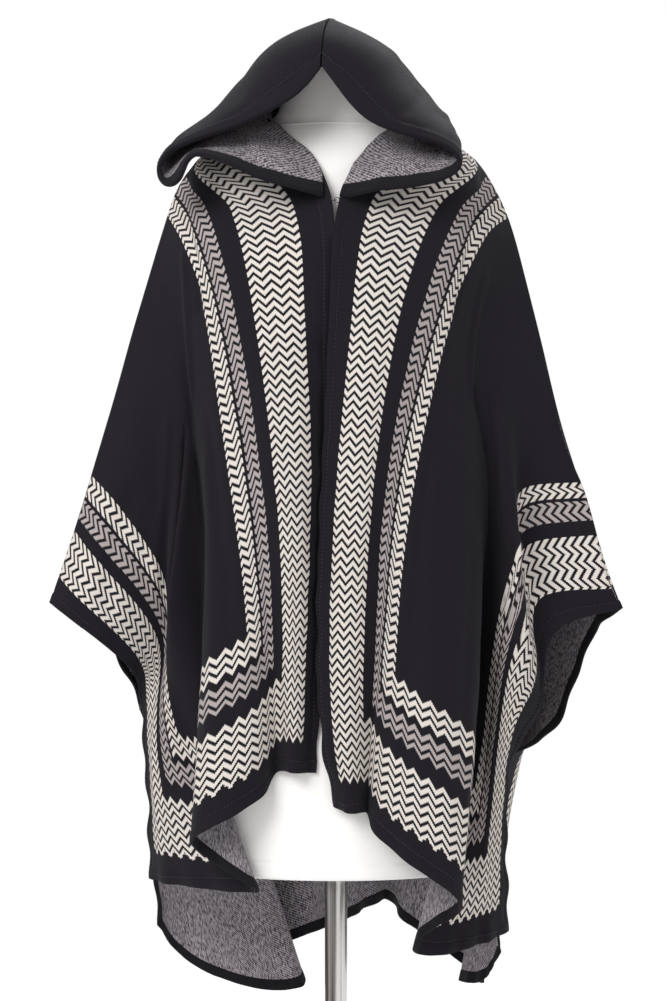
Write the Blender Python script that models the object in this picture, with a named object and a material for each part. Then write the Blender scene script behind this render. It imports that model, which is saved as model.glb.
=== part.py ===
"""A hooded open-front knit poncho (kimono cut) worn by a limbless dress form on its pole and round base.

Metres, +Z up, front toward -Y, the wearer's left at +X. The origin is the centre of the base's underside.
The tables are in millimetres. A cloth panel's table has one row for each hanging line: a thread at a
constant flat distance from the panel's inner edge, followed from the shoulder line down to the hem.
"""

import math

import bpy
import bmesh
import numpy as np

mm = 0.001

sightDistance = 2600  # a table's across and up line up with the form's middle plane from this far in front
sightHeight = 959
knitWall = 2.5
seamGap = 0.3
restGap = 0.8
neckHalfWidth = 70  # laid flat, from the centre back to a front's inner edge
poleRadius = 12.5
baseRadius = 155
baseHeight = 9
baseChamfer = 3
wireRadius = 0.45
eyeHeight = 5.2
eyeCorner = 0.8
hookBend = 1.3
hookGap = 0.7  # from a hook or an eye to the cloth edge that holds it
neckPull = 2.2  # how far the hood's lower edge is drawn in to the neckline
pullFade = (1, 0.7, 0.4, 0.15)  # how much of that each level shares

frontSteps = (5, 3, 3, 3, 3)  # grid steps between a front's levels, finest over the shoulder
backSteps = (7, 3, 4, 4)
threadSteps = 2
hoodSteps = 3
frontSeamLevels = 4  # levels of the grid kept to their own side of the shoulder seam
backSeamLevels = 5
formSides = 40
roundSides = 48

# Columns of the form's sections: height, half width, depth in front of the axis and depth behind it
formRings = (
    (550, 160, 110, 112),
    (600, 166, 111, 120),
    (700, 168, 107, 118),
    (800, 155, 99, 102),
    (900, 134, 89, 86),
    (980, 122, 84, 76),
    (1060, 130, 96, 82),
    (1140, 144, 114, 90),
    (1200, 150, 112, 95),
    (1260, 162, 99, 95),
    (1300, 166, 86, 88),
    (1330, 156, 73, 80),
    (1352, 125, 61, 70),
    (1370, 90, 53, 62),
    (1390, 66, 49, 57),
    (1420, 56, 48, 53),
    (1436, 54, 47, 52),
    (1447, 49, 43, 47),
)
formBottom = formRings[0][0]

# Columns of both fronts: flat distance from the inner edge, then across, up and depth at the shoulder line,
# yoke, chest, waist, hip and hem
rightFront = (
    (0, -68, 1402, 5, -2, 1305, -113, -3, 1183, -121, -6, 1008, -97, -15, 834, -98, -20, 655, -100),
    (35, -100, 1376, 5, -39, 1270, -112, -37, 1183, -128, -25, 1008, -122, -33, 834, -124, -39, 653, -122),
    (70, -130, 1359, 5, -76, 1278, -100, -67, 1183, -130, -48, 1008, -140, -47, 834, -142, -52, 654, -130),
    (103, -155, 1338, 3, -118, 1278, -84, -97, 1183, -122, -73, 1008, -136, -58, 834, -130, -63, 657, -108),
    (122, -168, 1325, 2, -139, 1278, -74, -111, 1183, -116, -83, 1008, -126, -69, 834, -118, -69, 655, -98),
    (150, -180, 1302, 0, -160, 1270, -58, -131, 1177, -106, -97, 1008, -118, -83, 834, -124, -77, 634, -116),
    (182, -186, 1284, -2, -170, 1252, -48, -143, 1177, -92, -125, 1008, -108, -92, 834, -134, -94, 616, -138),
    (222, -199, 1242, -5, -177, 1211, -44, -158, 1138, -72, -141, 987, -98, -123, 808, -138, -128, 598, -148),
    (258, -209, 1205, -8, -184, 1177, -42, -165, 1110, -64, -146, 965, -78, -152, 785, -122, -166, 580, -130),
    (280, -217, 1183, -10, -188, 1149, -44, -167, 1093, -66, -144, 942, -50, -152, 769, -86, -164, 573, -96),
    (325, -230, 1138, -12, -197, 1102, -50, -170, 1065, -74, -152, 914, -42, -132, 741, -60, -136, 552, -100),
    (385, -246, 1078, -15, -211, 1043, -52, -178, 962, -44, -192, 868, -86, -140, 707, -71, -94, 524, -124),
    (430, -260, 1032, -20, -225, 993, -56, -181, 909, -42, -200, 828, -76, -162, 696, -42, -76, 519, -118),
    (475, -274, 986, -28, -242, 950, -62, -185, 867, -42, -184, 800, -42, -192, 735, -50, -110, 520, -88),
    (520, -284, 950, -36, -254, 914, -68, -192, 841, -42, -188, 774, -38, -197, 690, -46, -147, 524, -58),
    (560, -293, 923, -42, -264, 883, -74, -199, 811, -45, -199, 757, -35, -202, 657, -42, -175, 528, -34),
    (600, -302, 896, -48, -274, 856, -78, -208, 791, -52, -208, 737, -30, -205, 634, -30, -194, 531, -12),
    (660, -320, 844, -56, -293, 822, -82, -227, 771, -58, -219, 736, 1, -209, 623, 5, -208, 536, 25),
)
leftFront = (
    (0, 68, 1402, 5, 1, 1305, -114, -6, 1183, -130, -15, 1008, -115, -23, 812, -116, -1, 616, -114),
    (35, 100, 1376, 5, 27, 1278, -110, 18, 1183, -132, -1, 1008, -126, -12, 818, -128, 8, 610, -130),
    (70, 130, 1359, 5, 69, 1284, -96, 47, 1183, -134, 26, 1008, -138, 10, 815, -140, 22, 607, -136),
    (103, 157, 1340, 3, 116, 1284, -78, 74, 1183, -128, 47, 1008, -134, 30, 818, -132, 31, 610, -118),
    (122, 168, 1325, 2, 134, 1282, -70, 96, 1183, -122, 58, 1008, -124, 46, 830, -118, 36, 612, -104),
    (150, 180, 1302, 0, 152, 1270, -58, 116, 1177, -112, 67, 1008, -112, 54, 834, -122, 38, 592, -124),
    (182, 191, 1282, -2, 166, 1261, -48, 133, 1183, -98, 92, 1008, -124, 63, 834, -136, 54, 573, -140),
    (225, 204, 1238, -5, 171, 1222, -44, 140, 1161, -80, 108, 1000, -120, 92, 802, -148, 88, 547, -156),
    (270, 215, 1193, -8, 174, 1177, -44, 146, 1133, -72, 134, 959, -112, 128, 769, -150, 124, 523, -158),
    (305, 224, 1157, -10, 178, 1144, -44, 150, 1093, -72, 159, 925, -104, 166, 746, -128, 148, 504, -140),
    (325, 230, 1136, -11, 184, 1125, -46, 157, 1077, -54, 164, 909, -76, 160, 726, -92, 130, 493, -118),
    (375, 242, 1080, -14, 194, 1073, -48, 186, 1026, -66, 162, 892, -50, 152, 707, -60, 104, 475, -114),
    (425, 254, 1026, -18, 199, 1021, -44, 198, 981, -76, 159, 869, -38, 148, 690, -46, 82, 462, -112),
    (450, 263, 1002, -22, 197, 995, -42, 206, 948, -84, 168, 858, -44, 154, 679, -44, 86, 448, -98),
    (475, 274, 983, -28, 196, 974, -41, 211, 909, -88, 180, 847, -74, 165, 668, -50, 116, 449, -80),
    (520, 284, 951, -34, 197, 941, -40, 213, 869, -88, 189, 819, -88, 170, 645, -66, 141, 455, -66),
    (560, 293, 919, -40, 200, 903, -40, 219, 834, -84, 193, 785, -88, 175, 623, -64, 159, 462, -50),
    (600, 302, 878, -48, 206, 869, -42, 228, 785, -72, 195, 735, -80, 181, 589, -56, 172, 466, -40),
    (630, 310, 853, -52, 215, 843, -46, 234, 746, -54, 194, 707, -70, 185, 573, -46, 184, 472, -28),
    (660, 320, 838, -56, 234, 809, -52, 236, 718, -40, 193, 685, -50, 190, 567, -30, 192, 477, -8),
)

# Columns of the back: flat distance from the centre back, then across, up and depth at the shoulder blades,
# waist, hip and hem. Its top edge is the fronts' shoulder line and, between them, the back of the neck.
backLines = (
    (-730, -264, 816, 30, -214, 725, -4, -207, 623, 58, -199, 483, 70),
    (-670, -260, 847, 50, -208, 757, 60, -199, 634, 85, -179, 449, 92),
    (-600, -251, 892, 60, -203, 791, 92, -184, 645, 100, -139, 426, 98),
    (-520, -231, 959, 65, -192, 836, 105, -164, 657, 118, -87, 411, 96),
    (-460, -208, 1026, 70, -177, 869, 112, -136, 662, 122, -49, 407, 98),
    (-420, -195, 1071, 75, -164, 892, 118, -113, 668, 128, -29, 416, 112),
    (-385, -188, 1105, 78, -152, 909, 126, -110, 673, 142, -36, 430, 136),
    (-340, -184, 1138, 80, -146, 925, 132, -136, 684, 157, -83, 444, 158),
    (-290, -175, 1172, 84, -136, 937, 130, -134, 690, 170, -114, 449, 178),
    (-240, -147, 1194, 92, -108, 959, 118, -100, 701, 163, -84, 455, 193),
    (-190, -113, 1205, 98, -83, 970, 108, -63, 707, 142, -52, 466, 178),
    (-140, -83, 1217, 100, -54, 981, 112, -38, 707, 130, -22, 477, 158),
    (-70, -40, 1222, 102, -27, 981, 122, -16, 707, 146, -4, 483, 162),
    (0, 0, 1222, 102, 0, 981, 116, 4, 707, 134, 10, 489, 142),
    (70, 40, 1222, 102, 32, 981, 118, 38, 713, 150, 40, 505, 200),
    (120, 72, 1217, 100, 60, 976, 112, 60, 713, 158, 58, 518, 226),
    (160, 96, 1209, 98, 82, 970, 106, 74, 711, 150, 66, 506, 206),
    (200, 116, 1200, 96, 100, 965, 108, 88, 707, 140, 76, 486, 165),
    (250, 139, 1189, 90, 122, 953, 120, 116, 696, 150, 108, 466, 160),
    (310, 150, 1161, 84, 141, 937, 130, 148, 684, 162, 146, 438, 170),
    (360, 161, 1127, 80, 155, 914, 126, 164, 673, 150, 168, 416, 150),
    (400, 172, 1088, 76, 164, 892, 116, 166, 662, 132, 164, 419, 122),
    (460, 195, 1037, 72, 175, 864, 108, 170, 651, 112, 141, 424, 100),
    (520, 223, 970, 66, 189, 830, 102, 179, 640, 96, 133, 421, 72),
    (600, 251, 897, 58, 206, 780, 90, 195, 623, 70, 161, 416, 50),
    (670, 268, 847, 44, 234, 735, 54, 204, 640, 20, 172, 427, 44),
    (730, 282, 802, 20, 246, 690, -5, 181, 667, -46, 184, 455, 36),
)
# Columns: flat distance from the centre back, then across, up and depth of the back of the neck
napeLine = ((-40, -47, 1408, 56), (0, 0, 1411, 72), (40, 47, 1408, 56))

# Columns of both hood halves: the share of the way up the front edge, then across, up and depth at the front
# edge, cheek, side, nape and centre seam
rightHood = (
    (0, -5, 1306, -120, -43, 1363, -84, -77, 1414, 0, -47, 1416, 60, 0, 1420, 78),
    (0.14, -65, 1312, -127, -74, 1350, -100, -98, 1398, 2, -64, 1392, 76, 0, 1402, 94),
    (0.3, -122, 1336, -122, -124, 1352, -98, -132, 1374, 0, -92, 1370, 92, 0, 1384, 120),
    (0.43, -171, 1342, -108, -164, 1352, -88, -156, 1362, -4, -110, 1364, 98, 0, 1378, 136),
    (0.53, -199, 1322, -90, -186, 1342, -70, -168, 1360, -2, -118, 1370, 103, 0, 1380, 147),
    (0.62, -190, 1346, -90, -184, 1355, -68, -164, 1371, 4, -120, 1382, 108, 0, 1390, 154),
    (0.75, -128, 1370, -112, -142, 1382, -86, -134, 1396, 8, -108, 1408, 102, 0, 1428, 152),
    (0.88, -66, 1399, -122, -92, 1430, -92, -92, 1448, -8, -90, 1450, 84, 0, 1468, 126),
    (0.95, -36, 1420, -116, -58, 1462, -94, -60, 1480, -30, -54, 1478, 56, 0, 1483, 106),
    (1, -16, 1446, -108, -16, 1478, -94, -12, 1495, -45, -4, 1499, 20, 0, 1491, 88),
)
leftHood = (
    (0, 4, 1306, -120, 39, 1363, -84, 77, 1414, 0, 47, 1416, 60, 0, 1420, 78),
    (0.18, 68, 1309, -131, 74, 1342, -104, 98, 1398, 2, 68, 1390, 78, 0, 1402, 98),
    (0.35, 122, 1318, -122, 122, 1338, -98, 122, 1374, 2, 98, 1368, 92, 0, 1384, 124),
    (0.44, 143, 1336, -110, 142, 1352, -84, 134, 1366, 4, 114, 1364, 98, 0, 1378, 138),
    (0.54, 120, 1358, -112, 134, 1368, -86, 130, 1380, 8, 122, 1374, 108, 0, 1390, 152),
    (0.68, 70, 1370, -122, 100, 1388, -98, 111, 1402, 8, 106, 1404, 104, 0, 1426, 152),
    (0.82, 27, 1389, -126, 62, 1428, -102, 84, 1436, 2, 84, 1440, 88, 0, 1462, 130),
    (0.93, 2, 1422, -118, 30, 1466, -98, 42, 1479, -28, 44, 1476, 58, 0, 1482, 108),
    (1, -16, 1446, -108, -16, 1478, -94, -12, 1495, -45, -4, 1499, 20, 0, 1491, 88),
)
hoodSeamDepths = (-108, 60)  # the crown's centre seam leans across from the front edge to here
hoodSeamAcross = (-16, 0)


def smoothThrough(keys, values, at):
    """Smooth values at the places asked for, through rows of values at rising keys."""
    keys, values, at = (np.asarray(part, float) for part in (keys, values, at))
    slopes = np.gradient(values, keys, axis=0)
    piece = np.clip(np.searchsorted(keys, at, side="right") - 1, 0, len(keys) - 2)
    span = keys[piece + 1] - keys[piece]
    share = ((at - keys[piece]) / span)[:, None]
    flat = values.reshape(len(keys), -1)
    lean = slopes.reshape(len(keys), -1)
    low, high = flat[piece], flat[piece + 1]
    lowLean, highLean = lean[piece] * span[:, None], lean[piece + 1] * span[:, None]
    s2, s3 = share**2, share**3
    line = (2 * s3 - 3 * s2 + 1) * low + (s3 - 2 * s2 + share) * lowLean
    line += (3 * s2 - 2 * s3) * high + (s3 - s2) * highLean
    return line.reshape((len(at),) + values.shape[1:])


def seen(points):
    """Real places of points given as across, up and depth."""
    points = np.asarray(points, float)
    spread = 1 + points[..., 2] / sightDistance
    return np.stack(
        (points[..., 0] * spread, points[..., 2], sightHeight + (points[..., 1] - sightHeight) * spread), -1
    )


def formReach(direction, up):
    """How far the form's side lies from its axis in a level direction."""
    rings = np.array(formRings, float)
    half, front, back = (np.interp(up, rings[:, 0], rings[:, column]) for column in (1, 2, 3))
    half, front, back = (np.where(up > rings[-1, 0], 0.0, size) for size in (half, front, back))
    depth = np.where(direction[..., 1] < 0, front, back)
    bend = np.hypot(direction[..., 0] / np.maximum(half, 1e-3), direction[..., 1] / np.maximum(depth, 1e-3))
    return np.where(half > 0, 1 / np.maximum(bend, 1e-9), 0.0)


def clearOfForm(points, gap):
    """Points moved level and outward where they are nearer than the gap to the form."""
    level = np.linalg.norm(points[..., :2], axis=-1)
    direction = points[..., :2] / np.maximum(level, 1e-6)[..., None]
    reach = np.zeros(level.shape)
    for tilt in np.radians(range(-90, 91, 15)):
        held = formReach(direction, points[..., 2] + gap * math.sin(tilt))
        reach = np.maximum(reach, np.where(held > 0, held + gap * math.cos(tilt), 0))
    moved = points.copy()
    moved[..., :2] = direction * np.maximum(level, reach)[..., None]
    return moved


def settled(points, gap, rounds=4):
    """A grid moved off the form, so that the straight lines between neighbours clear it too."""
    for _ in range(rounds):
        points = clearOfForm(points, gap)
        lift = np.zeros_like(points)
        for down, over in ((0, 1), (1, 0), (1, 1)):
            tall, wide = points.shape[0] - down, points.shape[1] - over
            middles = (points[:tall, :wide] + points[down:, over:]) / 2
            need = clearOfForm(middles, gap) - middles
            for part in (lift[:tall, :wide], lift[down:, over:]):
                larger = np.linalg.norm(need, axis=-1) > np.linalg.norm(part, axis=-1)
                part[larger] = need[larger]
        points = points + lift
    return points


def eased(grid, rounds=3):
    """A grid with its sharpest turns rounded, its edges kept as lines."""
    for _ in range(rounds):
        for axis in (0, 1):
            turned = np.moveaxis(grid, axis, 0).copy()
            turned[1:-1] += (turned[:-2] + turned[2:] - 2 * turned[1:-1]) / 4
            grid = np.moveaxis(turned, 0, axis)
    return grid


def between(keys, parts):
    """Every key and the places that share each step between keys into parts, one count or one for each."""
    counts = np.broadcast_to(parts, len(keys) - 1)
    steps = [np.linspace(low, high, n, endpoint=False) for low, high, n in zip(keys, keys[1:], counts)]
    return np.append(np.concatenate(steps), keys[-1])


def middleOf(table, acrossParts, alongParts):
    """A panel's middle surface as a grid of places, a row for each thread and a column for each level."""
    rows = np.array(table, float)
    places = rows[:, 1:].reshape(len(rows), -1, 3)
    threads = smoothThrough(rows[:, 0], places, between(rows[:, 0], acrossParts))
    heights = np.arange(places.shape[1])
    levels = between(heights, alongParts)
    return seen(np.stack([smoothThrough(heights, thread, levels) for thread in threads]))


def backTable():
    """The back's rows with the shoulder line and the back of the neck as their first level."""
    tops = [(-(neckHalfWidth + row[0]), *row[1:4]) for row in reversed(rightFront)]
    tops += [*napeLine, *((neckHalfWidth + row[0], *row[1:4]) for row in leftFront)]
    tops = np.array(tops, float)
    flats = [row[0] for row in backLines]
    edge = smoothThrough(tops[:, 0], tops[:, 1:], flats)
    return [(row[0], *top, *row[1:]) for row, top in zip(backLines, edge)]


def worn(table, acrossParts, alongParts):
    """A panel's middle surface as it hangs, clear of the form."""
    return settled(eased(middleOf(table, acrossParts, alongParts)), restGap + knitWall / 2)


def facesOf(grid):
    """Unit normals of a grid's surface."""
    normals = np.cross(np.gradient(grid, axis=1), np.gradient(grid, axis=0))
    return normals / np.maximum(np.linalg.norm(normals, axis=-1), 1e-9)[..., None]


def paint(name, colour, roughness, metallic=0.0):
    material = bpy.data.materials.new(name)
    material.use_nodes = True
    shader = material.node_tree.nodes["Principled BSDF"]
    shader.inputs["Base Color"].default_value = (*colour, 1)
    shader.inputs["Roughness"].default_value = roughness
    shader.inputs["Metallic"].default_value = metallic
    return material


def place(name, mesh, material, smooth=True):
    """One named object from a bmesh that is in millimetres."""
    bmesh.ops.recalc_face_normals(mesh, faces=mesh.faces[:])
    bmesh.ops.scale(mesh, vec=(mm, mm, mm), verts=mesh.verts[:])
    data = bpy.data.meshes.new(name)
    mesh.to_mesh(data)
    mesh.free()
    data.materials.append(material)
    if smooth:
        data.shade_smooth()
        data.set_sharp_from_angle(angle=math.radians(40))
    thing = bpy.data.objects.new(name, data)
    bpy.context.collection.objects.link(thing)
    return thing


def wallBetween(name, outer, inner, material):
    """A closed cloth wall between two grids of the same size."""
    mesh = bmesh.new()
    skins = [[[mesh.verts.new(spot) for spot in line] for line in grid] for grid in (outer, inner)]
    for skin in skins:
        for near, far in zip(skin, skin[1:]):
            for spot in range(len(near) - 1):
                mesh.faces.new((near[spot], near[spot + 1], far[spot + 1], far[spot]))
    for rim in zip(*(rimOf(skin) for skin in skins)):
        mesh.faces.new((rim[0][0], rim[0][1], rim[1][1], rim[1][0]))
    return place(name, mesh, material)


def rimOf(skin):
    """The pairs of neighbours round a grid's edge."""
    loop = [line[0] for line in skin] + skin[-1][1:-1]
    loop += [line[-1] for line in reversed(skin)] + skin[0][-2:0:-1]
    return list(zip(loop, loop[1:] + loop[:1]))


def keepTo(grid, side, plane, axis):
    """A grid kept on one side of a seam's plane by half the seam's gap."""
    limit = plane + side * seamGap / 2
    grid[..., axis] = np.maximum(grid[..., axis], limit) if side > 0 else np.minimum(grid[..., axis], limit)


def shoulderDepth(across):
    """The shoulder line's depth at a place across."""
    lines = [[row[1], row[3]] for table in (rightFront, leftFront) for row in table]
    lines = np.array(sorted(lines), float)
    return np.interp(across, lines[:, 0], lines[:, 1])


def skinsOf(middle):
    """The outer and inner grids of a wall round its middle surface, eased where a fold is tight."""
    normals = facesOf(middle)
    skins = [eased(middle + normals * knitWall / 2 * sign, 1) for sign in (1, -1)]
    inner, outer = sorted(skins, key=lambda skin: np.linalg.norm(skin[..., :2], axis=-1).mean())
    return settled(outer, restGap + knitWall * 0.8), settled(inner, restGap)


def panelWall(name, middle, material, side, seamLevels):
    """One front or back panel, its first levels kept to their side of the shoulder line."""
    skins = skinsOf(middle)
    for skin in skins:
        top = skin[:, :seamLevels]
        keepTo(top, side, shoulderDepth(top[..., 0]), 1)
    wallBetween(name, *skins, material)
    return (skins[0] + skins[1]) / 2


def drawnIn(hood, neckline):
    """A hood half with its lower edge drawn towards the nearest places of the neckline."""
    drawn = hood.copy()
    starts, steps = neckline[:-1], np.diff(neckline, axis=0)
    for spot, low in enumerate(hood[0]):
        share = ((low - starts) * steps).sum(-1) / (steps**2).sum(-1)
        reaches = starts + steps * np.clip(share, 0, 1)[:, None] - low
        nearest = reaches[np.linalg.norm(reaches, axis=-1).argmin()]
        drawn[: len(pullFade), spot] += np.outer(pullFade, nearest / np.linalg.norm(nearest) * neckPull)
    return drawn


def hoodWall(name, middle, material, side):
    """One half of the hood, kept to its side of the centre seam."""
    skins = skinsOf(middle)
    for skin in skins:
        keepTo(skin, side, np.interp(skin[..., 1], hoodSeamDepths, hoodSeamAcross), 0)
    return wallBetween(name, *skins, material)


def loftRings(mesh, rings):
    """A closed skin through rings of places, flat at both ends."""
    loops = [[mesh.verts.new(spot) for spot in ring] for ring in rings]
    for low, high in zip(loops, loops[1:]):
        for step in range(len(low)):
            after = (step + 1) % len(low)
            mesh.faces.new((low[step], low[after], high[after], high[step]))
    mesh.faces.new(loops[0][::-1])
    mesh.faces.new(loops[-1])


def compass(sides):
    """Level directions shared evenly round the axis."""
    angles = np.arange(sides) * 2 * math.pi / sides
    return np.stack((np.cos(angles), np.sin(angles)), -1)


def ringAt(reach, up, sides):
    """A level ring of places at a reach from the axis, one reach or one for each side."""
    level = compass(sides) * np.broadcast_to(reach, sides)[:, None]
    return np.column_stack((level, np.full(sides, up)))


def turned(name, outline, material, sides):
    """A round solid from its outline of radius and height pairs."""
    mesh = bmesh.new()
    loftRings(mesh, [ringAt(radius, up, sides) for radius, up in outline])
    return place(name, mesh, material)


def dressForm(material):
    """The torso with its neck, closed at the hip by a flat underside."""
    mesh = bmesh.new()
    heights = between([ring[0] for ring in formRings], 2)
    loftRings(mesh, [ringAt(formReach(compass(formSides), up), up, formSides) for up in heights])
    return place("dress_form", mesh, material)


def wire(name, points, closed, material):
    """A round wire through points in millimetres."""
    curve = bpy.data.curves.new(name, "CURVE")
    curve.dimensions = "3D"
    curve.bevel_depth = wireRadius * mm
    curve.bevel_resolution = 1
    curve.use_fill_caps = not closed
    spline = curve.splines.new("POLY")
    spline.points.add(len(points) - 1)
    for spot, point in zip(spline.points, points):
        spot.co = (*(value * mm for value in point), 1)
    spline.use_cyclic_u = closed
    curve.materials.append(material)
    thing = bpy.data.objects.new(name, curve)
    bpy.context.collection.objects.link(thing)
    return thing


def hookAndEye(name, hookEdge, eyeEdge, material):
    """A fastened hook and eye between two cloth edges: an upright loop and a wire bent round it."""
    hookEdge, eyeEdge = np.array(hookEdge, float), np.array(eyeEdge, float)
    reach = eyeEdge - hookEdge
    width = np.linalg.norm(reach[:2])
    along = np.array((*reach[:2], 0)) / width
    out = np.array((along[1], -along[0], 0))
    middle = (hookEdge + eyeEdge) / 2
    end = width / 2 - hookGap - wireRadius
    tall, near = eyeHeight / 2, 0.4
    flat = tall - eyeCorner

    def spot(x, y, z):
        return middle + along * x + out * y + np.array((0, 0, z))

    upper = ((-near, flat), (near, tall), (end - eyeCorner, tall), (end, flat))
    lower = [(x, -z) for x, z in reversed(upper)]
    wire(name + "_eye", [spot(x, 0, z) for x, z in (*upper, *lower)], True, material)
    angles = np.linspace(math.pi / 2, -math.pi / 2, 5)
    turn = [(near / 2 + math.cos(a), hookBend * math.sin(a)) for a in angles]
    bend = [spot(x, y, 0) for x, y in ((-end, hookBend), *turn, (-end, -hookBend))]
    wire(name + "_hook", bend, False, material)


def build():
    for thing in list(bpy.data.objects):
        bpy.data.objects.remove(thing, do_unlink=True)
    knit = paint("black knit", (0.018, 0.016, 0.022), 0.95)
    shell = paint("form cover", (0.86, 0.84, 0.81), 0.7)
    steel = paint("brushed steel", (0.6, 0.6, 0.6), 0.3, 1.0)

    dressForm(shell)
    turned("stand_pole", ((poleRadius, baseHeight + seamGap), (poleRadius, formBottom - seamGap)), steel, 24)
    rim = baseHeight - baseChamfer
    base = ((baseRadius, 0), (baseRadius, rim), (baseRadius - baseChamfer, baseHeight))
    turned("stand_base", base, steel, roundSides)

    right, left = (worn(table, threadSteps, frontSteps) for table in (rightFront, leftFront))
    back = worn(backTable(), threadSteps, backSteps)
    right = panelWall("front_right", right, knit, -1, frontSeamLevels)
    left = panelWall("front_left", left, knit, -1, frontSeamLevels)
    back = panelWall("back", back, knit, 1, backSeamLevels)
    yoke, waist = frontSteps[0], sum(frontSteps[:3])
    nape = [row[0] for row in backLines].index(0) * threadSteps
    rightNeck = np.vstack((right[0, yoke::-1], back[nape - 2 * threadSteps : nape + 1, 0]))
    leftNeck = np.vstack((left[0, yoke::-1], back[nape + 2 * threadSteps : nape - 1 : -1, 0]))
    hoodWall("hood_right", drawnIn(worn(rightHood, hoodSteps, hoodSteps), rightNeck), knit, -1)
    hoodWall("hood_left", drawnIn(worn(leftHood, hoodSteps, hoodSteps), leftNeck), knit, 1)

    backWaist, backHip = sum(backSteps[:2]), sum(backSteps[:3])
    hookAndEye("neck", right[0, yoke], left[0, yoke], steel)
    hookAndEye("side_right", right[-1, waist], back[0, backWaist], steel)
    hookAndEye("side_left", left[-1, waist], back[-1, backHip - 1], steel)


build()
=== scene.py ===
import math
import bpy
import bmesh
import numpy as np
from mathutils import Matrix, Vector


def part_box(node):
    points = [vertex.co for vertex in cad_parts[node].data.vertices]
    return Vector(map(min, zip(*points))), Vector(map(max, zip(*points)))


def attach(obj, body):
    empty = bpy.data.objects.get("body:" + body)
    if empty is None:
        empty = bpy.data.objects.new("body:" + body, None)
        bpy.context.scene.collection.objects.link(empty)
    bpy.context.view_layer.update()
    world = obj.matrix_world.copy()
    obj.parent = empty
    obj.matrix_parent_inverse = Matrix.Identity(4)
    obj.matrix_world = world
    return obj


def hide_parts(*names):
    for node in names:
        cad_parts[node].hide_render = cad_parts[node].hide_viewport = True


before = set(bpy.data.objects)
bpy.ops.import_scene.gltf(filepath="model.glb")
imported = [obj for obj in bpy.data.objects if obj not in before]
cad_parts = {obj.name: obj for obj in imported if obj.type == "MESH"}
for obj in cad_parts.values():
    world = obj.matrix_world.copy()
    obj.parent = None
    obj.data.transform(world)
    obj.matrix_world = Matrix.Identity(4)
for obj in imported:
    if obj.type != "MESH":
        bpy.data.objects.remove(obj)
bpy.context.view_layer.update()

# Everything below is in millimetres until a mesh is made: across is +X, up is +Z, and depth is +Y, away from
# the camera, so that the front's depths are below 0.
sight = {"distance": 2600, "height": 959, "across": -2.8, "sensor": 36, "lens": 83.5}
# "rest" is how far a middle surface keeps from the form, "faceRest" and "backRest" how far its two skins do
cloth = {
    "wall": 2.0, "rest": 2.05, "faceRest": 2.25, "backRest": 0.5, "neckHalf": 70, "halfWidth": 730,
    "wale": 1.75, "course": 1.4, "uneven": 0.9, "hoodUneven": 1.0, "calmTop": 60,
}
# "lines" are the distances from an edge at which the mesh has a line, and "stitch" is the one that is sewn
hem = {
    "width": 13, "stitch": 13, "lift": 0.8, "round": 1.4,
    "lines": (0, 0.35, 1.0, 2.2, 5, 9, 12, 13, 14.2, 18),
}
hoodHem = {
    "width": 16, "stitch": 16.1, "lift": 2.3, "round": 3.0,
    "lines": (0, 0.4, 1.2, 2.6, 5, 8, 12, 15.2, 16.1, 17.6, 22),
}

# Columns: height, half width, depth in front of the axis and behind it
formRings = (
    (550, 160, 110, 112),
    (600, 166, 111, 120),
    (700, 168, 107, 118),
    (800, 155, 99, 102),
    (900, 134, 89, 86),
    (980, 122, 84, 76),
    (1060, 130, 96, 82),
    (1140, 144, 114, 90),
    (1200, 150, 112, 95),
    (1260, 162, 99, 95),
    (1300, 166, 86, 88),
    (1330, 156, 73, 80),
    (1352, 125, 61, 70),
    (1370, 90, 53, 62),
    (1390, 66, 49, 57),
    (1420, 56, 48, 53),
    (1436, 54, 47, 52),
    (1447, 49, 43, 47),
)

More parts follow.
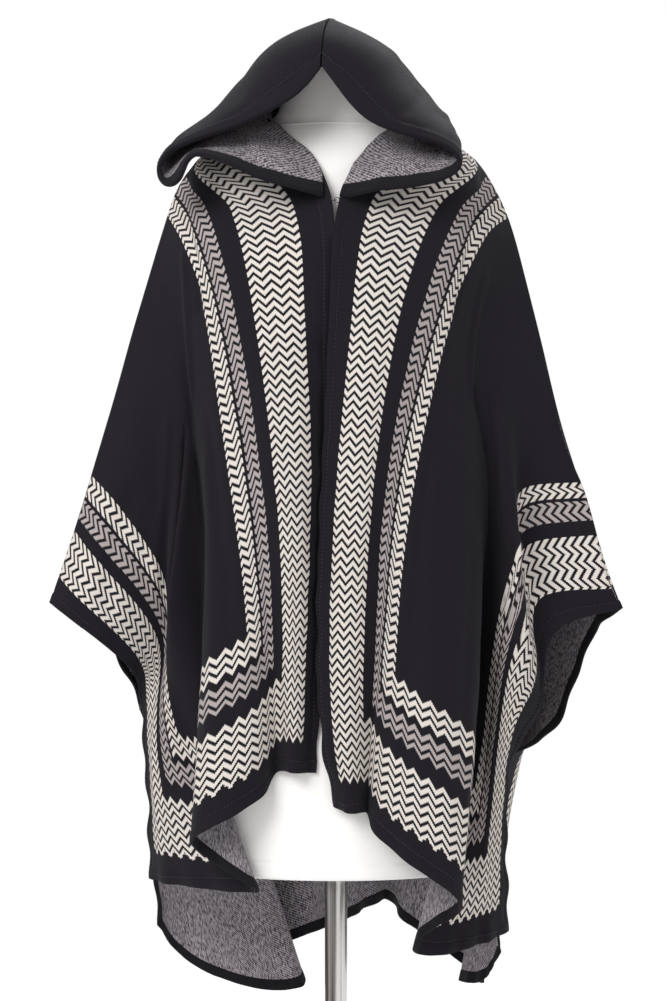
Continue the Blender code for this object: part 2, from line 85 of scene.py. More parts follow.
# Columns of both fronts: flat distance from the inner edge, then across, up and depth at the shoulder line,
# yoke, chest, waist, hip and hem
rightFront = (
    (0, -68, 1402, 5, -2, 1305, -113, -3, 1183, -121, -6, 1008, -97, -15, 834, -98, -20, 655, -100),
    (35, -100, 1376, 5, -39, 1270, -112, -37, 1183, -128, -25, 1008, -122, -33, 834, -124, -39, 653, -122),
    (70, -130, 1359, 5, -76, 1278, -100, -67, 1183, -130, -48, 1008, -140, -47, 834, -142, -52, 654, -130),
    (103, -155, 1338, 3, -118, 1278, -84, -97, 1183, -122, -73, 1008, -136, -58, 834, -130, -63, 657, -108),
    (122, -168, 1325, 2, -139, 1278, -74, -111, 1183, -116, -83, 1008, -126, -69, 834, -118, -69, 655, -98),
    (150, -180, 1302, 0, -160, 1270, -58, -131, 1177, -106, -97, 1008, -118, -83, 834, -124, -77, 634, -116),
    (182, -186, 1284, -2, -170, 1252, -48, -143, 1177, -92, -125, 1008, -108, -92, 834, -134, -94, 616, -138),
    (222, -199, 1242, -5, -177, 1211, -44, -158, 1138, -72, -141, 987, -98, -123, 808, -138, -128, 598, -148),
    (258, -209, 1205, -8, -184, 1177, -42, -165, 1110, -64, -146, 965, -78, -152, 785, -122, -166, 580, -130),
    (280, -217, 1183, -10, -188, 1149, -44, -167, 1093, -66, -144, 942, -50, -152, 769, -86, -164, 573, -96),
    (325, -230, 1138, -12, -197, 1102, -50, -170, 1065, -74, -152, 914, -42, -132, 741, -60, -136, 552, -100),
    (385, -246, 1078, -15, -211, 1043, -52, -178, 962, -44, -192, 868, -86, -140, 707, -71, -94, 524, -124),
    (430, -260, 1032, -20, -225, 993, -56, -181, 909, -42, -200, 828, -76, -162, 696, -42, -76, 519, -118),
    (475, -274, 986, -28, -242, 950, -62, -185, 867, -42, -184, 800, -42, -192, 735, -50, -110, 520, -88),
    (520, -284, 950, -36, -254, 914, -68, -192, 841, -42, -188, 774, -38, -197, 690, -46, -147, 524, -58),
    (560, -293, 923, -42, -264, 883, -74, -199, 811, -45, -199, 757, -35, -202, 657, -42, -175, 528, -34),
    (600, -302, 896, -48, -274, 856, -78, -208, 791, -52, -208, 737, -30, -205, 634, -30, -194, 531, -12),
    (660, -320, 844, -56, -293, 822, -82, -227, 771, -58, -219, 736, 1, -209, 623, 5, -208, 536, 25),
)
leftFront = (
    (0, 68, 1402, 5, 1, 1305, -114, -6, 1183, -130, -15, 1008, -115, -24, 745, -116, -1, 616, -114),
    (35, 100, 1376, 5, 27, 1278, -110, 18, 1183, -132, -1, 1008, -126, -13, 750, -129, 8, 610, -130),
    (70, 130, 1359, 5, 69, 1284, -96, 47, 1183, -134, 26, 1008, -138, 10, 760, -140, 22, 607, -136),
    (103, 157, 1340, 3, 116, 1284, -78, 74, 1183, -128, 47, 1008, -134, 30, 818, -132, 31, 610, -118),
    (122, 168, 1325, 2, 134, 1282, -70, 96, 1183, -122, 58, 1008, -124, 46, 830, -118, 36, 612, -104),
    (150, 180, 1302, 0, 152, 1270, -58, 116, 1177, -112, 67, 1008, -112, 54, 834, -122, 38, 592, -124),
    (182, 191, 1282, -2, 166, 1261, -48, 133, 1183, -98, 92, 1008, -124, 63, 834, -136, 54, 573, -140),
    (225, 204, 1238, -5, 171, 1222, -44, 140, 1161, -80, 108, 1000, -120, 92, 802, -148, 88, 547, -156),
    (270, 215, 1193, -8, 174, 1177, -44, 146, 1133, -72, 134, 959, -112, 128, 769, -150, 124, 523, -158),
    (305, 224, 1157, -10, 178, 1144, -44, 150, 1093, -72, 159, 925, -104, 166, 746, -128, 148, 504, -140),
    (325, 230, 1136, -11, 184, 1125, -46, 157, 1077, -54, 164, 909, -76, 160, 726, -92, 130, 493, -118),
    (375, 242, 1080, -14, 194, 1073, -48, 186, 1026, -66, 162, 892, -50, 152, 707, -60, 104, 475, -114),
    (425, 254, 1026, -18, 199, 1021, -44, 198, 981, -76, 159, 869, -38, 148, 690, -46, 82, 462, -112),
    (450, 263, 1002, -22, 197, 995, -42, 206, 948, -84, 168, 858, -44, 154, 679, -44, 86, 448, -98),
    (475, 274, 983, -28, 196, 974, -41, 211, 909, -88, 180, 847, -74, 165, 668, -50, 116, 449, -80),
    (520, 284, 951, -34, 197, 941, -40, 213, 869, -88, 189, 819, -88, 170, 645, -66, 141, 455, -66),
    (560, 293, 919, -40, 200, 903, -40, 219, 834, -84, 193, 785, -88, 175, 623, -64, 159, 462, -50),
    (600, 302, 878, -48, 206, 869, -42, 228, 785, -72, 195, 735, -80, 181, 589, -56, 172, 466, -40),
    (630, 310, 853, -52, 215, 843, -46, 234, 746, -54, 194, 707, -70, 185, 573, -46, 184, 472, -28),
    (660, 320, 838, -56, 234, 809, -52, 236, 718, -40, 193, 685, -50, 190, 567, -30, 192, 477, -8),
)

# Columns of the back: flat distance from the centre back, then across, up and depth at the shoulder blades,
# waist, hip and hem
backLines = (
    (-730, -264, 816, 30, -214, 725, -4, -207, 623, 58, -199, 483, 70),
    (-670, -260, 847, 50, -208, 757, 60, -199, 634, 85, -179, 449, 92),
    (-600, -251, 892, 60, -203, 791, 92, -184, 645, 100, -139, 426, 98),
    (-520, -231, 959, 65, -192, 836, 105, -164, 657, 118, -87, 411, 96),
    (-460, -208, 1026, 70, -177, 869, 112, -136, 662, 122, -49, 407, 98),
    (-420, -195, 1071, 75, -164, 892, 118, -113, 668, 128, -29, 416, 112),
    (-385, -188, 1105, 78, -152, 909, 126, -110, 673, 142, -36, 430, 136),
    (-340, -184, 1138, 80, -146, 925, 132, -136, 684, 157, -83, 444, 158),
    (-290, -175, 1172, 84, -136, 937, 130, -134, 690, 170, -114, 449, 178),
    (-240, -147, 1194, 92, -108, 959, 118, -100, 701, 163, -84, 455, 193),
    (-190, -113, 1205, 98, -83, 970, 108, -63, 707, 142, -52, 466, 178),
    (-140, -83, 1217, 100, -54, 981, 112, -38, 707, 130, -22, 477, 158),
    (-70, -40, 1222, 102, -27, 981, 122, -16, 707, 146, -4, 483, 162),
    (0, 0, 1222, 102, 0, 981, 116, 4, 707, 134, 10, 489, 142),
    (70, 40, 1222, 102, 32, 981, 118, 38, 713, 150, 40, 505, 200),
    (120, 72, 1217, 100, 60, 976, 112, 60, 713, 158, 58, 518, 226),
    (160, 96, 1209, 98, 82, 970, 106, 74, 711, 150, 66, 506, 206),
    (200, 116, 1200, 96, 100, 965, 108, 88, 707, 140, 76, 486, 165),
    (250, 139, 1189, 90, 122, 953, 120, 116, 696, 150, 108, 466, 160),
    (310, 150, 1161, 84, 141, 937, 130, 148, 684, 162, 146, 438, 170),
    (360, 161, 1127, 80, 155, 914, 126, 164, 673, 150, 168, 416, 150),
    (400, 172, 1088, 76, 164, 892, 116, 166, 662, 132, 164, 419, 122),
    (460, 195, 1037, 72, 175, 864, 108, 170, 651, 112, 141, 424, 100),
    (520, 223, 970, 66, 189, 830, 102, 179, 640, 96, 133, 421, 72),
    (600, 251, 897, 58, 206, 780, 90, 195, 623, 70, 161, 416, 50),
    (670, 268, 847, 44, 234, 735, 54, 204, 640, 20, 172, 427, 44),
    (730, 282, 802, 20, 246, 690, -5, 181, 667, -46, 184, 455, 36),
)
napeLine = ((-40, -47, 1408, 56), (0, 0, 1411, 72), (40, 47, 1408, 56))

# Columns of both hood halves: share of the way up the front edge, then across, up and depth at the front
# edge, cheek, side, nape and centre seam
rightHood = (
    (0, -5, 1306, -120, -43, 1363, -84, -77, 1414, 0, -47, 1416, 60, 0, 1420, 78),
    (0.14, -65, 1312, -127, -74, 1350, -100, -98, 1398, 2, -64, 1392, 76, 0, 1402, 94),
    (0.3, -122, 1336, -122, -124, 1352, -98, -132, 1374, 0, -92, 1370, 92, 0, 1384, 120),
    (0.42, -166, 1350, -110, -164, 1354, -86, -156, 1362, -4, -110, 1364, 98, 0, 1378, 136),
    (0.49, -172, 1318, -112, -184, 1326, -84, -168, 1356, -2, -114, 1367, 101, 0, 1379, 142),
    (0.56, -194, 1310, -96, -198, 1328, -70, -174, 1360, 0, -118, 1371, 104, 0, 1382, 149),
    (0.62, -201, 1343, -84, -194, 1353, -62, -166, 1371, 4, -120, 1382, 108, 0, 1390, 154),
    (0.75, -128, 1370, -112, -142, 1382, -86, -134, 1396, 8, -108, 1408, 102, 0, 1428, 152),
    (0.88, -66, 1399, -122, -92, 1430, -92, -92, 1448, -8, -90, 1450, 84, 0, 1468, 126),
    (0.95, -36, 1420, -116, -58, 1462, -94, -60, 1480, -30, -54, 1478, 56, 0, 1483, 106),
    (1, -16, 1446, -108, -16, 1478, -94, -12, 1495, -45, -4, 1499, 20, 0, 1491, 88),
)
leftHood = (
    (0, 4, 1306, -120, 39, 1363, -84, 77, 1414, 0, 47, 1416, 60, 0, 1420, 78),
    (0.18, 68, 1309, -131, 74, 1342, -104, 98, 1398, 2, 68, 1390, 78, 0, 1402, 98),
    (0.35, 122, 1318, -122, 122, 1338, -98, 122, 1374, 2, 98, 1368, 92, 0, 1384, 124),
    (0.44, 143, 1336, -110, 142, 1352, -84, 134, 1366, 4, 114, 1364, 98, 0, 1378, 138),
    (0.54, 120, 1358, -112, 134, 1368, -86, 130, 1380, 8, 122, 1374, 108, 0, 1390, 152),
    (0.68, 70, 1370, -122, 100, 1388, -98, 111, 1402, 8, 106, 1404, 104, 0, 1426, 152),
    (0.82, 27, 1389, -126, 62, 1428, -102, 84, 1436, 2, 84, 1440, 88, 0, 1462, 130),
    (0.93, 2, 1422, -118, 30, 1466, -98, 42, 1479, -28, 44, 1476, 58, 0, 1482, 108),
    (1, -16, 1446, -108, -16, 1478, -94, -12, 1495, -45, -4, 1499, 20, 0, 1491, 88),
)


def added(name, data):
    thing = bpy.data.objects.new(name, data)
    bpy.context.collection.objects.link(thing)
    return thing


def smoothThrough(keys, values, at):
    # smooth values at the places asked for, through rows of values at rising keys
    keys, values, at = (np.asarray(part, float) for part in (keys, values, at))
    slopes = np.gradient(values, keys, axis=0)
    piece = np.clip(np.searchsorted(keys, at, side="right") - 1, 0, len(keys) - 2)
    span = keys[piece + 1] - keys[piece]
    share = ((at - keys[piece]) / span)[:, None]
    flat = values.reshape(len(keys), -1)
    lean = slopes.reshape(len(keys), -1)
    low, high = flat[piece], flat[piece + 1]
    lowLean, highLean = lean[piece] * span[:, None], lean[piece + 1] * span[:, None]
    s2, s3 = share**2, share**3
    line = (2 * s3 - 3 * s2 + 1) * low + (s3 - 2 * s2 + share) * lowLean
    line += (3 * s2 - 2 * s3) * high + (s3 - s2) * highLean
    return line.reshape((len(at),) + values.shape[1:])


def seen(points):
    # the tables line up with the form's middle plane as the camera sees them
    spread = 1 + points[..., 2] / sight["distance"]
    up = sight["height"] + (points[..., 1] - sight["height"]) * spread
    return np.stack((points[..., 0] * spread, points[..., 2], up), -1)


def formReach(direction, up):
    rings = np.array(formRings, float)
    half, front, back = (np.interp(up, rings[:, 0], rings[:, column]) for column in (1, 2, 3))
    half, front, back = (np.where(up > rings[-1, 0], 0.0, size) for size in (half, front, back))
    depth = np.where(direction[..., 1] < 0, front, back)
    bend = np.hypot(direction[..., 0] / np.maximum(half, 1e-3), direction[..., 1] / np.maximum(depth, 1e-3))
    return np.where(half > 0, 1 / np.maximum(bend, 1e-9), 0.0)


def clearOfForm(points, gap):
    level = np.linalg.norm(points[..., :2], axis=-1)
    direction = points[..., :2] / np.maximum(level, 1e-6)[..., None]
    reach = np.zeros(level.shape)
    for tilt in np.radians(range(-90, 91, 15)):
        held = formReach(direction, points[..., 2] + gap * math.sin(tilt))
        reach = np.maximum(reach, np.where(held > 0, held + gap * math.cos(tilt), 0))
    moved = points.copy()
    moved[..., :2] = direction * np.maximum(level, reach)[..., None]
    return moved


def settled(points, gap, rounds=4):
    for _ in range(rounds):
        points = clearOfForm(points, gap)
        lift = np.zeros_like(points)
        for down, over in ((0, 1), (1, 0), (1, 1)):
            tall, wide = points.shape[0] - down, points.shape[1] - over
            middles = (points[:tall, :wide] + points[down:, over:]) / 2
            need = clearOfForm(middles, gap) - middles
            for part in (lift[:tall, :wide], lift[down:, over:]):
                larger = np.linalg.norm(need, axis=-1) > np.linalg.norm(part, axis=-1)
                part[larger] = need[larger]
        points = points + lift
    return points


def eased(grid, rounds=3):
    for _ in range(rounds):
        for axis in (0, 1):
            turned = np.moveaxis(grid, axis, 0).copy()
            turned[1:-1] += (turned[:-2] + turned[2:] - 2 * turned[1:-1]) / 4
            grid = np.moveaxis(turned, 0, axis)
    return grid


def between(keys, parts):
    counts = np.broadcast_to(parts, len(keys) - 1)
    steps = [np.linspace(low, high, n, endpoint=False) for low, high, n in zip(keys, keys[1:], counts)]
    return np.append(np.concatenate(steps), keys[-1])


def hung(table, acrossParts, alongParts):
    # the solid's own middle surface, a row for each thread and a column for each level
    rows = np.array(table, float)
    places = rows[:, 1:].reshape(len(rows), -1, 3)
    keys = between(rows[:, 0], acrossParts)
    threads = smoothThrough(rows[:, 0], places, keys)
    heights = np.arange(places.shape[1])
    levels = between(heights, alongParts)
    grid = seen(np.stack([smoothThrough(heights, thread, levels) for thread in threads]))
    return keys, settled(eased(grid), cloth["rest"])


def refined(keys, coarse, at, levels, places):
    # the same surface at finer threads and levels
    rows = smoothThrough(keys, coarse, at)
    return np.moveaxis(smoothThrough(levels, np.moveaxis(rows, 1, 0), places), 0, 1)


def areaOf(grid):
    # square metres of a surface in millimetres, each cell half the product of its two diagonals
    crossed = np.cross(grid[1:, 1:] - grid[:-1, :-1], grid[1:, :-1] - grid[:-1, 1:])
    return np.linalg.norm(crossed, axis=-1).sum() / 2e6


def rimOf(numbers):
    # the numbers round the outside of a grid, in order
    return np.concatenate((numbers[:, 0], numbers[-1, 1:], numbers[-2::-1, -1], numbers[0, -2:0:-1]))


def withLines(keys, lines, low=True, high=True):
    # keys with the hem's own lines in place of those near an edge
    reach = lines[-1] * 1.2
    inside = keys[(keys > keys[0] + reach * low) & (keys < keys[-1] - reach * high)]
    start = keys[0] + np.array(lines) if low else keys[:1]
    end = keys[-1] - np.array(lines[::-1]) if high else keys[-1:]
    return np.unique(np.concatenate((start, inside, end)).round(6))


def lengthsAlong(grid):
    steps = np.linalg.norm(np.diff(grid, axis=1), axis=-1)
    return np.concatenate((np.zeros((len(grid), 1)), np.cumsum(steps, axis=1)), axis=1)


def smoothStep(low, high, value):
    share = np.clip((value - low) / (high - low), 0, 1)
    return share * share * (3 - 2 * share)


def facesOf(grid):
    normals = np.cross(np.gradient(grid, axis=1), np.gradient(grid, axis=0))
    return normals / np.maximum(np.linalg.norm(normals, axis=-1), 1e-9)[..., None]


def outward(middle):
    # unit normals on the panel's face side
    normals = facesOf(middle)
    radial = middle[..., :2] / np.maximum(np.linalg.norm(middle[..., :2], axis=-1), 1)[..., None]
    side = np.sign((normals[..., :2] * radial).sum(-1).mean())
    return normals * side


def creaseLift(creases, u, v):
    # soft troughs and ridges drawn on the flat panel, each from one place to another
    lift = np.zeros_like(u)
    for fromU, fromV, toU, toV, width, height in creases:
        run = np.array((toU - fromU, toV - fromV), float)
        long = np.hypot(*run)
        along = ((u - fromU) * run[0] + (v - fromV) * run[1]) / long
        bow = math.sin(fromU * 0.7) * width * 0.6 * np.sin(np.pi * np.clip(along / long, 0, 1))
        off = ((u - fromU) * run[1] - (v - fromV) * run[0]) / long + bow
        ends = smoothStep(-width, width, along) * smoothStep(-width, width, long - along)
        lift += height * ends * np.exp(-((off / width) ** 2) * 1.6)
    return lift


def restless(u, v, size):
    # the slight unevenness of a soft knit that has been folded and hung
    waves = (
        (0.043, 0.017, 0.3), (0.019, 0.051, 1.7), (0.067, -0.031, 4.1), (-0.024, 0.083, 2.2),
        (0.098, 0.061, 5.3),
    )
    return size * sum(np.sin(u * a + v * b + c) for a, b, c in waves) / len(waves)


def ripples(along, fromEdge, height):
    # a free edge never hangs quite straight: it curls in and out and dies away into the cloth
    wave = 0.6 * np.sin(along * 0.118 + 1.1) + 0.4 * np.sin(along * 0.071 + 4.0)
    return height * wave * np.exp(-fromEdge / 24)


def hemRise(edge, lines):
    # how far the turned hem stands up, and the dip of its stitch line
    on = 1 - smoothStep(lines["width"] - 1.5, lines["width"] + 0.7, edge)
    dip = np.exp(-(((edge - lines["width"] - 0.4) / 1.1) ** 2))
    return on * lines["lift"], 0.5 * dip


def halfWall(edge, lines):
    # the wall rounds off at its edge
    near = np.clip(1 - edge / lines["round"], 0, 1)
    return cloth["wall"] / 2 * np.sqrt(np.maximum(1 - near**2, 0.02))


def shellOf(name, middle, edge, lines, attributes, materials):
    # a closed thin shell round the middle surface: the face side, the reverse and a rounded rim
    normals = outward(middle)
    half, (rise, dip) = halfWall(edge, lines), hemRise(edge, lines)
    face = middle + normals * (half + rise - dip)[..., None]
    reverse = middle - normals * (half + rise * 0.6)[..., None]
    face, reverse = settled(face, cloth["faceRest"], 1), settled(reverse, cloth["backRest"], 1)
    tall, wide = middle.shape[:2]
    numbers = np.arange(tall * wide).reshape(tall, wide)
    quads = np.stack((numbers[:-1, :-1], numbers[:-1, 1:], numbers[1:, 1:], numbers[1:, :-1]), -1)
    quads = quads.reshape(-1, 4)
    loop = rimOf(numbers)
    after = np.roll(loop, -1)
    back = tall * wide
    rim = np.stack((loop, after, after + back, loop + back), -1)
    data = bpy.data.meshes.new(name)
    points = np.concatenate((face.reshape(-1, 3), reverse.reshape(-1, 3))) / 1000
    faces = np.concatenate((quads, quads[:, ::-1] + back, rim[:, ::-1]))
    data.from_pydata(points.tolist(), [], faces.tolist())
    sides = np.zeros(len(data.polygons), int)
    sides[len(quads) : 2 * len(quads)] = 1
    data.polygons.foreach_set("material_index", sides)
    for key, values in attributes.items():
        layer = data.attributes.new(key, "FLOAT_VECTOR", "POINT")
        layer.data.foreach_set("vector", np.tile(values.reshape(-1, 3), (2, 1)).ravel())
    for material in materials:
        data.materials.append(material)
    mesh = bmesh.new()
    mesh.from_mesh(data)
    bmesh.ops.recalc_face_normals(mesh, faces=mesh.faces[:])
    mesh.to_mesh(data)
    mesh.free()
    data.shade_smooth()
    return added(name, data), face


def bakeMap(thing, tall, wide):
    # the face fills one half of the map, the reverse the other, and the rim a strip below them
    data = thing.data
    layer = data.uv_layers.new(name="OFBake")
    corners = np.zeros(len(data.loops), int)
    data.loops.foreach_get("vertex_index", corners)
    owner = np.repeat(np.arange(len(data.polygons)), 4)
    cells = (tall - 1) * (wide - 1)
    spot = corners % (tall * wide)
    across, along = spot // wide / (tall - 1), spot % wide / (wide - 1)
    uv = np.stack((0.01 + 0.47 * across, 0.04 + 0.95 * along), -1)
    uv[corners >= tall * wide, 0] += 0.5
    rims = 2 * (tall + wide - 2)
    number = owner - 2 * cells
    onRim = number >= 0
    # each rim face has its own slot of the strip, its far corners read from their order in the loop
    numbers = np.arange(tall * wide).reshape(tall, wide)
    loop = rimOf(numbers)
    far = onRim & (spot != loop[np.clip(number, 0, rims - 1)])
    uv[onRim, 0] = 0.01 + 0.97 * (number[onRim] + far[onRim]) / rims
    uv[onRim, 1] = 0.01 + 0.012 * (corners[onRim] >= tall * wide)
    layer.data.foreach_set("uv", uv.ravel())


def linear(code):
    # sRGB hex to linear colour
    parts = [int(code[k : k + 2], 16) / 255 for k in (1, 3, 5)]
    return (*(c / 12.92 if c <= 0.04045 else ((c + 0.055) / 1.055) ** 2.4 for c in parts), 1)


def node(tree, kind, values=None, **settings):
    # adds a node; a value is a number, a colour or another node's output
    made = tree.nodes.new(kind)
    for key, value in settings.items():
        setattr(made, key, value)
    for key, value in (values or {}).items():
        if isinstance(value, bpy.types.NodeSocket):
            tree.links.new(value, made.inputs[key])
        else:
            made.inputs[key].default_value = value
    return made


def sums(tree, kind, *terms):
    return node(tree, "ShaderNodeMath", dict(enumerate(terms)), operation=kind).outputs[0]


def finish(name, values):
    # a material of one finish, its constants set on the shader
    material = bpy.data.materials.new(name)
    material.use_nodes = True
    shader = material.node_tree.nodes["Principled BSDF"]
    for key, value in values.items():
        shader.inputs[key].default_value = value
    return material, material.node_tree, shader


def raised(tree, shader, height, strength, distance):
    values = {"Height": height, "Strength": strength, "Distance": distance}
    bump = node(tree, "ShaderNodeBump", values)
    tree.links.new(bump.outputs[0], shader.inputs["Normal"])


# The knit: a two-colour jacquard, its face black with off-white zigzag strips and its reverse heather grey.
# "wide", "dim" and "bright" are the bands' own distances from the edge of a panel.
knit = {
    "black": "#131116", "fleck": "#29262d", "white": "#dfd8d0", "dimWhite": "#a59c9b",
    "greyDark": "#27242b", "greyLight": "#aaa3a8", "zigzag": 21.0, "climb": 8.4, "strip": 9.8,
    "whiteShare": 0.57, "dimShare": 0.5, "wide": (35, 103), "dim": (121, 149), "bright": (155, 183),
}


def stitches(tree, cut):
    # rounded wales, each course a row of small V shapes
    apart = node(tree, "ShaderNodeSeparateXYZ", {0: cut})
    column = sums(tree, "PINGPONG", apart.outputs[0], cloth["wale"] / 2)
    row = sums(tree, "MULTIPLY_ADD", column, 0.75, apart.outputs[1])
    row = sums(tree, "PINGPONG", row, cloth["course"] / 2)
    return sums(tree, "ADD", column, row)


def noise(tree, place, scale, detail=3.0):
    return node(tree, "ShaderNodeTexNoise", {"Vector": place, "Scale": scale, "Detail": detail}).outputs[0]


def mixed(tree, share, low, high):
    # inputs 6 and 7 and output 2 of the node are its colours
    return node(tree, "ShaderNodeMix", {0: share, 6: low, 7: high}, data_type="RGBA").outputs[2]


def inside(tree, value, low, high):
    over = sums(tree, "GREATER_THAN", value, low)
    return sums(tree, "MULTIPLY", over, sums(tree, "LESS_THAN", value, high))


def knitFace(name, banded):
    # brushed jacquard knit: matt and slightly furry, so its black never shines and its edges lighten
    material, tree, shader = finish(name, {
        "Roughness": 0.92, "Specular IOR Level": 0.12, "Sheen Weight": 0.03, "Sheen Roughness": 0.5,
    })
    cut = node(tree, "ShaderNodeAttribute", attribute_name="cut").outputs["Vector"]
    fleck = noise(tree, cut, 0.9)
    fleck = sums(tree, "MULTIPLY", sums(tree, "POWER", fleck, 2.6), 1.5)
    colour = mixed(tree, fleck, linear(knit["black"]), linear(knit["fleck"]))
    if banded:
        grid = (cloth["wale"], cloth["course"], cloth["wale"])
        snapped = node(tree, "ShaderNodeVectorMath", {0: cut, 1: grid}, operation="SNAP").outputs[0]
        apart = node(tree, "ShaderNodeSeparateXYZ", {0: snapped})
        wave = sums(tree, "PINGPONG", apart.outputs[0], knit["zigzag"] / 2)
        drop = sums(tree, "MULTIPLY", wave, knit["climb"] / (knit["zigzag"] / 2))
        lifted = sums(tree, "SUBTRACT", apart.outputs[1], sums(tree, "SUBTRACT", drop, knit["climb"] / 2))
        edge = sums(tree, "MINIMUM", apart.outputs[2], lifted)
        white, dim = 0.0, 0.0
        for band, share in (("wide", "whiteShare"), ("dim", "dimShare"), ("bright", "whiteShare")):
            low, high = knit[band]
            risen = sums(tree, "ADD", lifted, cloth["course"] / 2 - low)
            strip = sums(tree, "FRACT", sums(tree, "DIVIDE", risen, knit["strip"]))
            shown = sums(tree, "LESS_THAN", strip, knit[share])
            shown = sums(tree, "MULTIPLY", shown, inside(tree, edge, low, high))
            if band == "dim":
                dim = shown
            else:
                white = sums(tree, "ADD", white, shown)
        shade = sums(tree, "MULTIPLY_ADD", noise(tree, cut, 0.6), 0.5, 0.25)
        shade = sums(tree, "MULTIPLY", shade, 0.5)
        pale = mixed(tree, shade, linear(knit["white"]), linear(knit["dimWhite"]))
        colour = mixed(tree, dim, colour, linear(knit["dimWhite"]))
        colour = mixed(tree, white, colour, pale)
    tree.links.new(colour, shader.inputs["Base Color"])
    relief = sums(tree, "MULTIPLY_ADD", noise(tree, cut, 0.5), 1.2, stitches(tree, cut))
    raised(tree, shader, relief, 0.5, 0.0004)
    return material


def knitReverse(name):
    # the jacquard's floats: black and off-white yarn side by side read as a speckled heather grey
    values = {"Roughness": 0.94, "Specular IOR Level": 0.2, "Sheen Weight": 0.04}
    material, tree, shader = finish(name, values)
    cut = node(tree, "ShaderNodeAttribute", attribute_name="cut").outputs["Vector"]
    apart = node(tree, "ShaderNodeSeparateXYZ", {0: cut})
    floats = sums(tree, "MULTIPLY_ADD", apart.outputs[0], 0.5, apart.outputs[1])
    floats = sums(tree, "PINGPONG", floats, 1.6)
    drawn = node(tree, "ShaderNodeVectorMath", {0: cut, 1: (0.42, 0.2, 0.3)}, operation="MULTIPLY")
    drawn = drawn.outputs[0]
    speck = sums(tree, "MULTIPLY_ADD", floats, 0.16, noise(tree, drawn, 1.0, 5.0))
    speck = sums(tree, "MULTIPLY_ADD", speck, 4.0, -2.0)
    speck = node(tree, "ShaderNodeClamp", {0: speck}).outputs[0]
    grey = mixed(tree, speck, linear(knit["greyDark"]), linear(knit["greyLight"]))
    border = sums(tree, "MINIMUM", apart.outputs[2], apart.outputs[1])
    border = sums(tree, "LESS_THAN", border, hem["width"] + 0.4)
    colour = mixed(tree, border, grey, linear(knit["black"]))
    tree.links.new(colour, shader.inputs["Base Color"])
    relief = sums(tree, "MULTIPLY_ADD", speck, 0.8, stitches(tree, cut))
    raised(tree, shader, relief, 0.6, 0.0005)
    return material


bandedFace = knitFace("black jacquard knit with zigzag bands", True)
plainFace = knitFace("plain black knit", False)
greyReverse = knitReverse("heather grey knit reverse")
print("knit materials made")


# Each panel: "flat" is its cut, width by length in metres. "shear" is where its pattern slides towards the
# sleeve's edge: from and to across, from and to level, and the length that the slid threads count from.
# Columns of the creases, placed on the cloth from the inner edge and the hem: from across, from up,
# to across, to up, half width, height, which is a trough where it is below 0.
frontRight = {
    "table": rightFront, "flat": (0.66, 0.808), "ripple": 2.6, "shear": (230, 400, 8, 11, 450),
    "creases": (
        (205, 40, 214, 430, 15, -3.0), (238, 80, 232, 400, 17, 2.6), (300, 120, 288, 430, 15, -3.4),
        (318, 470, 450, 300, 9, -4.5), (352, 500, 520, 330, 12, 3.4), (440, 470, 600, 330, 13, -3.2),
        (60, 90, 72, 520, 24, -2.0), (108, 300, 132, 650, 20, 2.2), (20, 20, 26, 260, 15, -1.6),
        (150, 690, 196, 540, 10, -3.0), (190, 620, 262, 480, 9, 3.2), (350, 40, 372, 190, 14, 2.0),
        (590, 60, 560, 210, 13, 1.5), (470, 70, 486, 200, 12, -1.6),
    ),
}
frontLeft = {
    "table": leftFront, "flat": (0.66, 0.846), "ripple": 2.6, "shear": (230, 400, 8, 11, 500),
    "creases": (
        (196, 60, 208, 460, 15, -3.0), (232, 90, 224, 430, 16, 2.6), (288, 60, 300, 380, 13, -3.4),
        (300, 560, 400, 440, 9, -4.0), (356, 560, 500, 440, 12, 3.2), (500, 500, 640, 390, 12, -3.0),
        (64, 60, 58, 480, 23, 2.0), (118, 260, 100, 640, 20, -2.2), (22, 40, 18, 300, 14, 1.5),
        (148, 700, 190, 580, 10, -2.8), (228, 660, 300, 540, 9, 3.0), (362, 60, 344, 230, 13, 2.2),
        (452, 60, 468, 260, 13, -1.8), (560, 50, 540, 230, 14, 1.7),
    ),
}
backPanel = {
    "flat": (1.46, 0.976), "ripple": 3.2, "shear": (300, 480, 5, 14, 595),
    "creases": (
        (-40, 60, -62, 700, 26, -3.2), (10, 40, 4, 620, 24, 2.6), (66, 80, 92, 680, 25, -3.0),
        (-150, 60, -180, 560, 22, 2.6), (-230, 100, -262, 640, 22, -2.8), (150, 60, 178, 600, 20, 2.5),
        (222, 80, 262, 640, 24, -2.9), (-330, 90, -372, 520, 20, -2.2), (330, 70, 384, 540, 21, 2.3),
        (-440, 300, -600, 420, 16, -2.4), (-420, 210, -640, 300, 15, 2.0), (450, 320, 610, 430, 16, -2.4),
        (430, 200, 650, 280, 15, 2.1), (-120, 860, 130, 872, 12, -1.6), (-560, 60, -540, 230, 13, 1.8),
        (540, 50, 556, 220, 13, -1.9),
    ),
}


def backTable():
    tops = [(-(cloth["neckHalf"] + row[0]), *row[1:4]) for row in reversed(rightFront)]
    tops += [*napeLine, *((cloth["neckHalf"] + row[0], *row[1:4]) for row in leftFront)]
    tops = np.array(tops, float)
    flats = [row[0] for row in backLines]
    edge = smoothThrough(tops[:, 0], tops[:, 1:], flats)
    return [(row[0], *top, *row[1:]) for row, top in zip(backLines, edge)]


